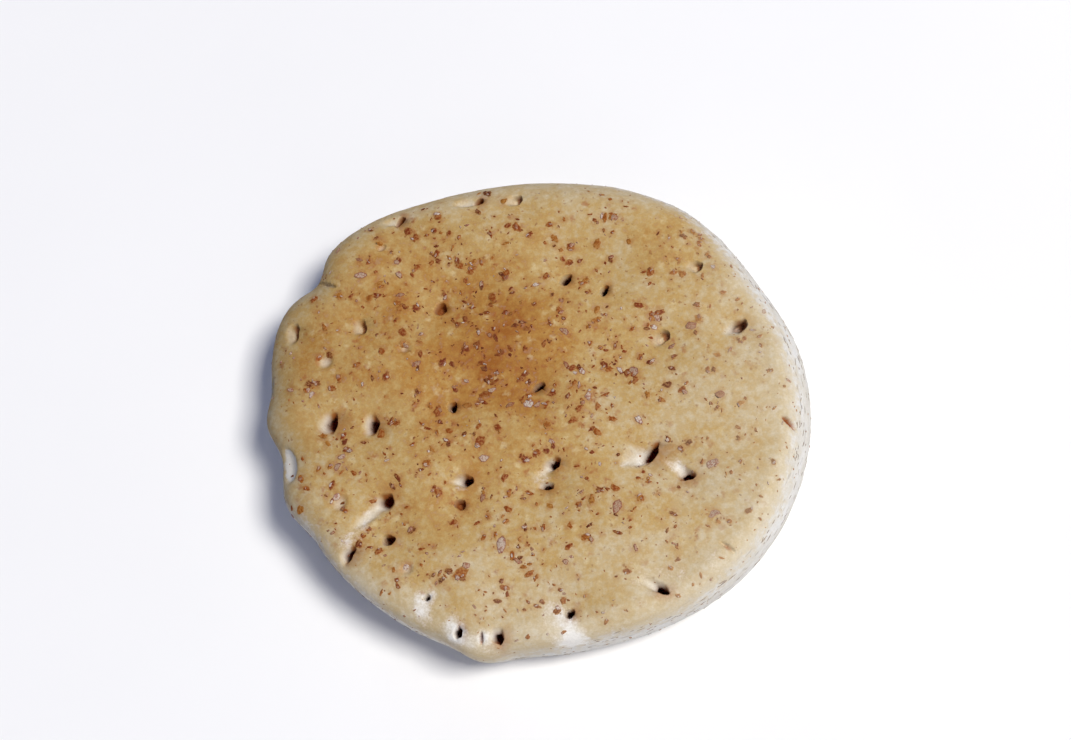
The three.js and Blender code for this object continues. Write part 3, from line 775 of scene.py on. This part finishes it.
def crust_masks(skin, angle, reach, dent, slit, edge_dent, marks):
    """How browned, floury, pale and toasted each point is, its painted shade in holes, slits and on the
    rim, and how much of a side.
    """
    x, y, _ = skin.T
    broad = rough_noise(skin, BROAD_MOTTLE, SEED + 30)
    fine = rough_noise(skin, FINE_MOTTLE, SEED + 40)
    start = side_start(angle) + SIDE_WANDER * broad
    brown = BROWN_BASE + BROAD_SWING * broad + FINE_SWING * fine
    brown += patches_at(BROWN_PATCHES, x, y) * (1 + PATCH_SWING * fine)
    brown -= ramp(dent, *DENT_FADE)
    # Paler towards the right and the front, partly painted light
    brown -= PALE_FADE * pallor_at(x, y)
    brown -= ramp(reach, *RIM_FADE)
    flour = patches_at(FLOUR_PATCHES, x, y) * mottle(skin, SEED + 50, *FLOUR_MOTTLE)
    flour *= 1 - ramp(reach, *FLOUR_END)
    # Painted shade on the rim away from the key light
    facing = (0.5 + 0.5 * np.cos(np.radians(angle - RIM_SHADE_HEADING))) ** RIM_SHADE_POWER
    side = 0.5 + 0.5 * (reach - start) / SIDE_EDGE
    masks = {
        "browning": brown,
        "side": np.maximum(side, ramp(edge_dent, *EDGE_DENT_FLOUR)),
        "flour": flour,
        "pale": marks["pale"] + ramp(dent - slit, *HOLLOW_PALE),
        "toast": marks["toast"] + ramp(slit, *SLIT_TOAST),
        "painted_hole_shade": marks["painted_hole_shade"] + ramp(slit, *SLIT_SHADE),
        "painted_rim_shade": facing * ramp(reach, *RIM_SHADE_REACH),
    }
    return {name: np.clip(values, 0, 1) for name, values in masks.items()}


def upper_arrays(hollows):
    """Points, triangles and masks of the crust down to the underside's edge, whose ring comes first."""
    flat, faces = upper_skin(np.random.default_rng(SEED), hollows)
    angle, distance = polar(*flat.T)
    reach = np.interp(distance, SKIN_DISTANCE, SKIN_REACH)
    skin = skin_at(angle, reach)
    rough = np.zeros(len(skin))
    for index, (size, height, octaves) in enumerate(ROUGHNESS):
        rough += height * rough_noise(skin, size, SEED + 10 + 10 * index, octaves)
    seams = rough_noise(skin / (SEAM_STRETCH, SEAM_STRETCH, 1), SEAM_SIZE, SEED + 90, 2)
    rough -= ramp(seams, *SEAM_NOISE) * ramp(reach, *SEAM_REACH)
    rough *= ramp(skin[:, 2], 0, SMOOTH_HEIGHT)
    dent = hollow_depth(skin, hollows)
    slit = sum(mark.toast * hollow_depth(skin, [place]) for mark, place in zip(HOLLOWS, hollows))
    edge_dent = hollow_depth(skin, hollows[len(HOLLOWS):])
    on_top = reach < HOLE_LOWEST_REACH
    marks = {name: on_top * values for name, values in hole_marks(skin[:, 0], skin[:, 1]).items()}
    points = skin + vertex_normals(skin, faces) * (rough - dent)[:, None]
    points[:, :2] += (HOLE_SLANT * marks["shaft"])[:, None] * toward(HOLE_SLANT_HEADING)
    points[:, 2] -= marks["depth"]
    return points, faces, crust_masks(skin, angle, reach, dent, slit, edge_dent, marks)


def underside_arrays():
    """Points, triangles and masks of the underside, whose edge ring comes first."""
    inner = lattice(1, UNDERSIDE_CELL / (MEAN_RADIUS - FOOT_WIDTH), np.random.default_rng(SEED + 1))
    flat, faces = triangulated(np.concatenate([edge_ring(1), inner]))
    angle, share = polar(*flat.T)
    points = skin_at(angle, 4 - np.clip(share, 0, 1))
    brown = mottle(points, SEED + 60, *UNDERSIDE_BROWNING) - ramp(share, *UNDERSIDE_FADE)
    pocks = ramp(rough_noise(points, POCK_SIZE, SEED + 70), *POCK_NOISE)
    points[:, 2] += pocks * ramp(-share, -1, -POCKED_SHARE)
    flour = mottle(points, SEED + 80, *UNDERSIDE_FLOUR)
    masks = {
        "browning": np.clip(brown, 0, 1),
        "side": ramp(share, *UNDERSIDE_PALE),
        "flour": np.clip(flour, 0, UNDERSIDE_MOST_FLOUR),
    }
    return points, faces[:, ::-1], masks


def crust_arrays():
    """Points, triangles and masks of the closed crust, placed as the CAD solid is, and the shift to it."""
    points, faces, masks = upper_arrays(hollow_places())
    under_points, under_faces, under_masks = underside_arrays()
    inner = len(under_points) - EDGE_POINTS
    shifted = np.where(under_faces < EDGE_POINTS, under_faces, under_faces + len(points) - EDGE_POINTS)
    for name, values in masks.items():
        under = under_masks[name][EDGE_POINTS:] if name in under_masks else np.zeros(inner)
        masks[name] = np.concatenate([values, under])
    points = np.concatenate([points, under_points[EDGE_POINTS:]])
    low, high = points.min(axis=0), points.max(axis=0)
    shift = -np.array([(low[0] + high[0]) / 2, (low[1] + high[1]) / 2, low[2]])
    return points + shift, np.concatenate([faces, shifted]), masks, Vector(shift)


def add_object(name, data):
    item = bpy.data.objects.new(name, data)
    bpy.context.scene.collection.objects.link(item)
    return item


def mesh_object(name, points, faces, masks, material):
    """Object of a mesh in millimetres with a number for each point in each mask, riding on the roll."""
    mesh = bpy.data.meshes.new(name)
    mesh.from_pydata([tuple(MM * c for c in point) for point in points], [], faces)
    for mask, values in masks.items():
        attribute = mesh.attributes.new(mask, "FLOAT", "POINT")
        attribute.data.foreach_set("value", np.ascontiguousarray(values, dtype=np.float32))
    mesh.shade_smooth()
    mesh.materials.append(material)
    piece = add_object(name, mesh)
    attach(piece, "root")
    return piece


# Bran


class Flake(NamedTuple):
    """A flake lying on the crust near a place, with its length along a heading."""

    place: Vector
    length: float
    width: float
    heading: float
    lift: float = 0


def is_clear(flake):
    x, y, _ = flake.place
    return all(math.hypot(x - mark.x, y - mark.y) > FLAKE_CLEARANCE for mark in PIN_HOLES + HOLLOWS)


def reach_of_share(share):
    """Reach of a share of the flaked skin, counted from the middle of the top."""
    if share < FLAKE_TOP_SHARE:
        return math.sqrt(share / FLAKE_TOP_SHARE)
    beyond = (share - FLAKE_TOP_SHARE) / (1 - FLAKE_TOP_SHARE)
    return 1 + beyond * (FLAKE_LOWEST_REACH - 1)


def skin_under(x, y):
    return Vector(skin_at(*(float(value) for value in place_on_top(x, y))))


def steady_flake(index):
    angle = 360 * (index * FIRST_SCATTER % 1)
    place = Vector(skin_at(angle, reach_of_share(index * SECOND_SCATTER % 1)))
    shrink = 1 - FLAKE_SHRINK * pallor_at(place.x, place.y)
    length = shrink * LARGEST_FLAKE / (1 + index / FLAKE_HALVING)
    return Flake(place, length, FLAKE_WIDTH_SHARE * length, 360 * (index * THIRD_SCATTER % 1))


def loose_place(flakes, rng):
    """Chance place on the top or the upper shoulder, or beside an earlier flake."""
    if rng.uniform() < CLUSTER_SHARE:
        near = flakes[rng.integers(len(flakes))].place
        return skin_under(*rng.normal((near.x, near.y), CLUSTER_SPREAD))
    return Vector(skin_at(rng.uniform(0, 360), reach_of_share(rng.uniform())))


def loose_flake(place, rng):
    length = LOOSE_SHORTEST + (LOOSE_LONGEST - LOOSE_SHORTEST) * rng.uniform() ** LOOSE_POWER
    length *= 1 - FLAKE_SHRINK * pallor_at(place.x, place.y)
    return Flake(place, length, length * rng.uniform(*LOOSE_WIDTH), rng.uniform(0, 360))


def spread_flakes(rng):
    """Flakes over the top and the upper shoulder."""
    flakes = [steady_flake(index) for index in range(STEADY_FLAKES)]
    for _ in range(LOOSE_FLAKES):
        flakes.append(loose_flake(loose_place(flakes, rng), rng))
    for x, y, spread, count in BRAN_PATCHES:
        for place in rng.normal((x, y), spread, (count, 2)):
            flakes.append(loose_flake(skin_under(*place), rng))
    return [flake for flake in flakes if is_clear(flake)]


def lone_flakes(rows):
    return [Flake(skin_under(x, y), length, width, heading) for x, y, length, width, heading in rows]


def caps_on(flakes, rng):
    """Smaller flakes that lie on some of the larger flakes."""
    caps = []
    for flake in flakes:
        if flake.length < CAPPED_LENGTH or rng.uniform() > CAPPED_SHARE:
            continue
        count = max(1, int((flake.length - CAPPED_LENGTH) / CAP_EVERY))
        for _ in range(count):
            aside = Vector((*rng.normal(0, CAP_SPREAD * flake.width, 2), 0))
            length = flake.length * rng.uniform(*CAP_SIZE) / math.sqrt(count)
            width = length * rng.uniform(*LOOSE_WIDTH)
            caps.append(Flake(flake.place + aside, length, width, rng.uniform(0, 360), CAP_LIFT))
    return caps


def specks_on(points, faces, count, size, rng):
    """Specks with lengths in a range, anywhere on the crust."""
    corners = points[faces]
    areas = np.linalg.norm(face_normals(corners), axis=1)
    specks = []
    for face in rng.choice(len(faces), count, p=areas / areas.sum()):
        length = rng.uniform(*size)
        place = Vector(corners[face].mean(axis=0))
        specks.append(Flake(place, length, length * rng.uniform(*LOOSE_WIDTH), rng.uniform(0, 360)))
    return specks


def side_dashes(rng):
    """Narrow flakes in rows along the floury side."""
    dashes = []
    for _ in range(DASHES):
        angle = rng.uniform(0, 360)
        reach = side_start(angle) + rng.normal(rng.choice(DASH_ROWS), DASH_ROW_SPREAD)
        heading = angle + 90 + rng.normal(0, DASH_TILT)
        place = Vector(skin_at(angle, reach))
        dashes.append(Flake(place, rng.uniform(*DASH_LENGTH), rng.uniform(*DASH_WIDTH), heading))
    return dashes


def chip(flake, surface, rng, sides, rise, tilt):
    """Points of a flat ragged chip on the crust: middle, inner ring, rim and root."""
    hit, normal, _, _ = surface.find_nearest(flake.place)
    along, across = directions_on(normal, flake.heading)
    ragged = rng.uniform(*CHIP_RAGGEDNESS, sides)
    ragged += CHIP_ROUNDING * (np.roll(ragged, 1) + np.roll(ragged, -1) - 2 * ragged)
    angles = (np.arange(sides) + rng.uniform(-CHIP_TURN, CHIP_TURN, sides)) * 2 * math.pi / sides
    lean_along, lean_across = rng.normal(0, tilt, 2)
    points = [hit + normal * (rise + flake.lift)]
    for share, height in CHIP_RINGS:
        for angle, edge in zip(angles, ragged):
            ahead = 0.5 * flake.length * share * edge * math.cos(angle)
            aside = 0.5 * flake.width * share * edge * math.sin(angle)
            lift = max(height * rise + lean_along * ahead + lean_across * aside, CHIP_LEAST_LIFT)
            points.append(hit + along * ahead + across * aside + normal * (lift + flake.lift))
    points.append(hit - normal * CHIP_ROOT)
    return [(x, y, max(z, 0)) for x, y, z in points]


def chip_faces(start, sides):
    inner, rim, root = start + 1, start + 1 + sides, start + 1 + 2 * sides
    faces = []
    for here in range(sides):
        after = (here + 1) % sides
        faces.append((start, inner + here, inner + after))
        faces.append((inner + here, rim + here, rim + after, inner + after))
        faces.append((root, rim + after, rim + here))
    return faces


def bran_object(name, flakes, surface, rng, material, sides, rise, tilt):
    """One mesh of all flakes of a kind. Each has a tone of its own, the pallor and browning of the crust
    under it, and a mask that is 1 at its rim."""
    points, faces = [], []
    masks = {"flake_tone": [], "flake_pallor": [], "flake_browning": [], "flake_rim": []}
    for flake in flakes:
        x, y, _ = flake.place
        start = len(points)
        points += chip(flake, surface, rng, sides, rise * rng.uniform(*CHIP_RISE), tilt)
        faces += chip_faces(start, sides)
        own = (rng.uniform(), float(pallor_at(x, y)), float(patches_at(BROWN_PATCHES, x, y)))
        for mask, value in zip(masks, own):
            masks[mask] += [value] * (2 * sides + 2)
        masks["flake_rim"] += [0] * (1 + sides) + [1] * (sides + 1)
    piece = mesh_object(name, points, faces, masks, material)
    piece.data.set_sharp_from_angle(angle=math.radians(SHARP_ANGLE))


def stain_mask(points, flakes):
    """How much the crust is stained by the flakes beside it."""
    tree = KDTree(len(points))
    for index, point in enumerate(points):
        tree.insert(point, index)
    tree.balance()
    stain = np.zeros(len(points))
    for flake in flakes:
        radius = (flake.length + flake.width) / 4
        for _, index, distance in tree.find_range(flake.place, radius + STAIN_REACH):
            share = 1 - max(distance - radius, 0) / STAIN_REACH
            stain[index] = max(stain[index], share * share)
    return stain


# Materials


def set_inputs(tree, node, inputs):
    for key, value in inputs.items():
        if isinstance(value, bpy.types.NodeSocket):
            tree.links.new(value, node.inputs[key])
        else:
            node.inputs[key].default_value = value


def add_node(tree, kind, inputs=None, **settings):
    node = tree.nodes.new(kind)
    for key, value in settings.items():
        setattr(node, key, value)
    set_inputs(tree, node, inputs or {})
    return node


def mask_of(tree, name):
    return add_node(tree, "ShaderNodeAttribute", attribute_name=name).outputs["Fac"]


def object_place(tree, stretch=(1, 1, 1)):
    place = add_node(tree, "ShaderNodeTexCoord").outputs["Object"]
    return add_node(tree, "ShaderNodeMapping", {"Vector": place, "Scale": stretch}).outputs["Vector"]


def noise_value(tree, size, detail, roughness, stretch=(1, 1, 1)):
    """Noise with features of a size in millimetres."""
    place = object_place(tree, stretch)
    inputs = {"Vector": place, "Scale": 1 / (size * MM), "Detail": detail, "Roughness": roughness}
    return add_node(tree, "ShaderNodeTexNoise", inputs).outputs["Fac"]


def remap(tree, value, low, high, start=0, end=1):
    inputs = {"Value": value, "From Min": low, "From Max": high, "To Min": start, "To Max": end}
    return add_node(tree, "ShaderNodeMapRange", inputs, interpolation_type="SMOOTHSTEP").outputs["Result"]


def combine(tree, operation, first, second, clamp=False):
    node = add_node(tree, "ShaderNodeMath", {0: first, 1: second}, operation=operation, use_clamp=clamp)
    return node.outputs["Value"]


def times(tree, first, second):
    return combine(tree, "MULTIPLY", first, second)


def mix_colour(tree, share, first, second, blend="MIX"):
    inputs = {0: share, 6: first, 7: second}
    return add_node(tree, "ShaderNodeMix", inputs, data_type="RGBA", blend_type=blend).outputs[2]


def layered(tree, colour, layers):
    """A colour with layers over it, each with its share and colour."""
    for share, layer in layers:
        colour = mix_colour(tree, share, colour, layer)
    return colour


def shaded(tree, colour, brightness):
    return mix_colour(tree, 1, colour, brightness, "MULTIPLY")


def colour_ramp(tree, value, stops):
    """Colours at positions from 0 to 1, given in order."""
    node = add_node(tree, "ShaderNodeValToRGB", {"Fac": value})
    elements = node.color_ramp.elements
    for element, (position, colour) in ((elements[0], stops[0]), (elements[1], stops[-1])):
        element.position = position
        element.color = colour
    for position, colour in stops[1:-1]:
        elements.new(position).color = colour
    return node.outputs["Color"]


def vector_node(tree, operation, inputs):
    return add_node(tree, "ShaderNodeVectorMath", inputs, operation=operation).outputs["Vector"]


def smudges(tree, cell, largest, softness):
    """Soft irregular spots, one or none in each cell. The largest radius and the softness are shares."""
    place = object_place(tree)
    inputs = {"Vector": place, "Scale": SMUDGE_WAVES / (cell * MM), "Detail": 2}
    noise = add_node(tree, "ShaderNodeTexNoise", inputs)
    wobble = vector_node(tree, "SUBTRACT", {0: noise.outputs["Color"], 1: (0.5, 0.5, 0.5)})
    wobble = vector_node(tree, "SCALE", {0: wobble, "Scale": SMUDGE_WOBBLE * cell * MM})
    place = vector_node(tree, "ADD", {0: place, 1: wobble})
    spots = add_node(tree, "ShaderNodeTexVoronoi", {"Vector": place, "Scale": 1 / (cell * MM)})
    chance = add_node(tree, "ShaderNodeSeparateColor", {"Color": spots.outputs["Color"]}).outputs["Red"]
    size = remap(tree, chance, 0.1, 1, 0, largest)
    inside = combine(tree, "SUBTRACT", size, spots.outputs["Distance"])
    return remap(tree, inside, 0, softness)


def new_material(name):
    material = bpy.data.materials.new(name)
    material.use_nodes = True
    return material, material.node_tree, material.node_tree.nodes["Principled BSDF"]


def add_bump(tree, shader, height, strength):
    inputs = {"Height": height, "Strength": strength, "Distance": BUMP_HEIGHT * MM}
    bump = add_node(tree, "ShaderNodeBump", inputs)
    set_inputs(tree, shader, {"Normal": bump.outputs["Normal"]})


def browned_colour(tree, fine, medium):
    """Colour of the top: browned by the mask and mottled, with cream and rust-coloured smudges."""
    browning = mask_of(tree, "browning")
    for noise, swing in ((medium, 0.09), (fine, 0.13)):
        change = remap(tree, noise, 0.25, 0.75, -swing, swing)
        browning = combine(tree, "ADD", browning, change, clamp=True)
    stain = times(tree, mask_of(tree, "stain"), remap(tree, fine, 0.3, 0.7, 0.1, 0.5))
    marks = [(stain, RUST)]
    for cell, largest, softness, strength, spot in SMUDGES:
        marks.append((times(tree, smudges(tree, cell, largest, softness), strength), spot))
    shown = remap(tree, mask_of(tree, "browning"), 0.15, 0.45, 0.2, 1)
    layers = [(times(tree, share, shown), spot) for share, spot in marks]
    return layered(tree, colour_ramp(tree, browning, BROWNING), layers)


def side_colour(tree):
    """Colour of the pale side: cream and white patches with dark cracks along it."""
    patches = remap(tree, noise_value(tree, *SIDE_PATCHES), 0.35, 0.65)
    colour = mix_colour(tree, patches, SIDE_CREAM, SIDE_WHITE)
    cracks = remap(tree, noise_value(tree, *SIDE_CRACKS), 0.6, 0.68)
    return mix_colour(tree, times(tree, cracks, 0.4), colour, CRACK)


def crust_material():
    material, tree, shader = new_material("crust")
    grain = noise_value(tree, *GRAIN)
    fine = noise_value(tree, *FINE)
    medium = noise_value(tree, *MEDIUM)
    side = combine(tree, "ADD", mask_of(tree, "side"), remap(tree, fine, 0.3, 0.7, -0.25, 0.25))
    top = browned_colour(tree, fine, medium)
    colour = mix_colour(tree, remap(tree, side, 0.1, 0.85), top, side_colour(tree))
    # Painted shade darkens the rim away from the key light
    colour = shaded(tree, colour, remap(tree, mask_of(tree, "painted_rim_shade"), 0, 1, 1, 0.74))
    dust = mask_of(tree, "flour")
    for noise, swing in ((medium, 0.16), (fine, 0.1), (grain, 0.05)):
        dust = combine(tree, "ADD", dust, remap(tree, noise, 0.3, 0.7, -swing, swing))
    # Painted shade in holes and slits, partly a darker baked inside, ramps to red-brown at the deepest
    painted_hole_shade = mask_of(tree, "painted_hole_shade")
    colour = layered(tree, colour, [
        # Pale hole walls, partly painted light where they face the key
        (times(tree, mask_of(tree, "pale"), 0.85), HOLE_PALE),
        (times(tree, mask_of(tree, "toast"), 0.95), HOLE_TOAST),
        (remap(tree, dust, 0.25, 0.85, 0, 0.9), FLOUR_WHITE),
        (painted_hole_shade, colour_ramp(tree, painted_hole_shade, [(0.6, HOLE_SHADE_TONE), (1, HOLE_RED)])),
    ])
    colour = shaded(tree, colour, remap(tree, grain, 0.2, 0.8, 0.92, 1.06))
    set_inputs(tree, shader, {"Base Color": colour, "Roughness": 0.72, "Specular IOR Level": 0.25})
    add_bump(tree, shader, combine(tree, "ADD", fine, times(tree, grain, 0.5)), 0.5)
    return material


def bran_material(name, tones, rim, patch, faded, charred, roughness):
    """Bran with a ramp of tones, and a tone and a share for its rim, its patches and its fading. It is
    charred by a share where the crust is brownest."""
    material, tree, shader = new_material(name)
    (rim_tone, rim_share), (patch_tone, patch_share), (faded_tone, faded_share) = rim, patch, faded
    grain = noise_value(tree, *BRAN_GRAIN)
    edge = remap(tree, mask_of(tree, "flake_rim"), 0.2, 1)
    # Flakes fade with the pallor of the crust under them, which is partly painted light
    fading = remap(tree, mask_of(tree, "flake_pallor"), 0.15, 0.7, 0, faded_share)
    colour = layered(tree, colour_ramp(tree, mask_of(tree, "flake_tone"), tones), [
        (times(tree, edge, rim_share), rim_tone),
        (remap(tree, grain, 0.48, 0.57, 0, patch_share), patch_tone),
        (remap(tree, grain, 0.46, 0.38, 0, 0.45), BRAN_DARK),
        (remap(tree, mask_of(tree, "flake_browning"), 0.1, 0.5, 0, charred), BRAN_DARK),
        (times(tree, fading, remap(tree, edge, 0, 1, 0.5, 1)), faded_tone),
    ])
    set_inputs(tree, shader, {"Base Color": colour, "Roughness": roughness, "Specular IOR Level": 0.2})
    add_bump(tree, shader, grain, 0.6)
    return material


def dark_bran_material():
    tones = [
        (0, tone(80, 28, 5)),
        (0.4, tone(122, 50, 9)),
        (0.8, tone(141, 73, 15)),
        (1, tone(154, 101, 35)),
    ]
    rim, patch = (tone(160, 118, 54), 0.6), (tone(177, 130, 74), 0.45)
    return bran_material("bran_dark", tones, rim, patch, (tone(196, 166, 124), 0.85), 0.5, 0.6)


def pale_bran_material():
    tones = [(0, tone(154, 114, 80)), (0.5, tone(178, 150, 124)), (1, tone(202, 190, 174))]
    rim, patch = (tone(124, 62, 34), 0.75), (tone(128, 60, 32), 0.7)
    return bran_material("bran_pale", tones, rim, patch, (tone(196, 174, 146), 0.5), 0, 0.4)


def speck_material():
    tones = [(0, tone(110, 52, 20)), (0.6, tone(146, 86, 40)), (1, tone(170, 122, 68))]
    rim, patch = (tone(124, 66, 32), 0.2), (tone(170, 124, 72), 0.5)
    return bran_material("bran_specks", tones, rim, patch, (tone(196, 166, 124), 0.75), 0.4, 0.7)


def dash_material():
    tones = [(0, tone(104, 84, 68)), (0.6, tone(142, 122, 102)), (1, tone(170, 152, 130))]
    rim, patch = (tone(124, 104, 86), 0.2), (tone(184, 170, 150), 0.5)
    return bran_material("bran_dashes", tones, rim, patch, (tone(160, 144, 126), 0.3), 0, 0.75)


def floor_material():
    material, tree, shader = new_material("floor")
    clouds = noise_value(tree, *FLOOR_CLOUDS)
    colour = mix_colour(tree, clouds, tone(241, 240, 238), tone(245, 244, 242))
    set_inputs(tree, shader, {"Base Color": colour, "Roughness": 0.8})
    return material


# Studio


def floor_object():
    half = FLOOR_SIZE / 2
    mesh = bpy.data.meshes.new("floor")
    corners = [(-half, -half, 0), (half, -half, 0), (half, half, 0), (-half, half, 0)]
    mesh.from_pydata(corners, [], [(0, 1, 2, 3)])
    mesh.materials.append(floor_material())
    floor = add_object("floor", mesh)


def direction_to(heading, height):
    """Direction towards a heading and a height angle."""
    right, up = toward(heading)
    level, rise = toward(height)
    return Vector((right * level, up * level, rise))


def area_light(name, heading, height, distance, size, power, colour):
    """Square soft light aimed at the roll from a heading and a height angle."""
    light = bpy.data.lights.new(name, "AREA")
    light.size = size
    light.energy = power
    light.color = colour
    lamp = add_object(name, light)
    back = direction_to(heading, height)
    lamp.location = back * distance
    lamp.rotation_euler = back.to_track_quat("Z", "Y").to_euler()


def light_studio():
    for name, settings in LIGHTS.items():
        area_light(name, *settings)
    world = bpy.data.worlds.new("studio")
    world.use_nodes = True
    background = world.node_tree.nodes["Background"]
    set_inputs(world.node_tree, background, {"Color": WORLD_COLOUR, "Strength": WORLD_STRENGTH})
    bpy.context.scene.world = world


def camera_object():
    """Camera tilted from straight above, with the roll where the photograph has it."""
    data = bpy.data.cameras.new("camera")
    data.lens = LENS
    data.sensor_width = SENSOR
    camera = add_object("camera", data)
    back = direction_to(VIEW_HEADING, 90 - VIEW_TILT)
    turn = Vector((0, 0, 1)).rotation_difference(back)
    pixel = VIEW_DISTANCE * SENSOR / LENS / PHOTO_WIDTH
    right, down = PHOTO_CENTRE[0] - PHOTO_WIDTH / 2, PHOTO_CENTRE[1] - PHOTO_HEIGHT / 2
    aside = Vector((-right, down, 0)) * pixel
    camera.location = (Vector(VIEW_CENTRE) + back * VIEW_DISTANCE + turn @ aside) * MM
    camera.rotation_euler = turn.to_euler()
    bpy.context.scene.camera = camera


# The whole roll


def placed(flakes, shift):
    return [flake._replace(place=flake.place + shift) for flake in flakes]


def build_hallulla():
    points, faces, masks, shift = crust_arrays()
    rng = np.random.default_rng(SEED + 2)
    flakes = spread_flakes(rng)
    pale = placed(lone_flakes(PALE_FLAKES) + flakes[::PALE_EVERY], shift)
    others = [flake for index, flake in enumerate(flakes) if index % PALE_EVERY]
    dark = placed(lone_flakes(DARK_FLAKES) + others, shift)
    masks["stain"] = stain_mask(points, dark + pale)
    crust = mesh_object("hallulla_crust", points, faces.tolist(), masks, crust_material())
    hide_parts("hallulla")
    surface = BVHTree.FromPolygons([tuple(p) for p in points], faces.tolist())
    dashes = placed(side_dashes(rng), shift)
    pale += caps_on(dark, rng) + specks_on(points, faces, PALE_SPECKS, PALE_SPECK_SIZE, rng)
    specks = specks_on(points, faces, SPECKS, SPECK_SIZE, rng)
    bran_object("bran_dark", dark, surface, rng, dark_bran_material(), *DARK_CHIP)
    bran_object("bran_pale", pale, surface, rng, pale_bran_material(), *PALE_CHIP)
    bran_object("bran_dashes", dashes, surface, rng, dash_material(), *DASH_CHIP)
    bran_object("bran_specks", specks, surface, rng, speck_material(), *SPECK_CHIP)


build_hallulla()
floor_object()
light_studio()
camera_object()
bpy.context.scene.view_settings.view_transform = "Standard"
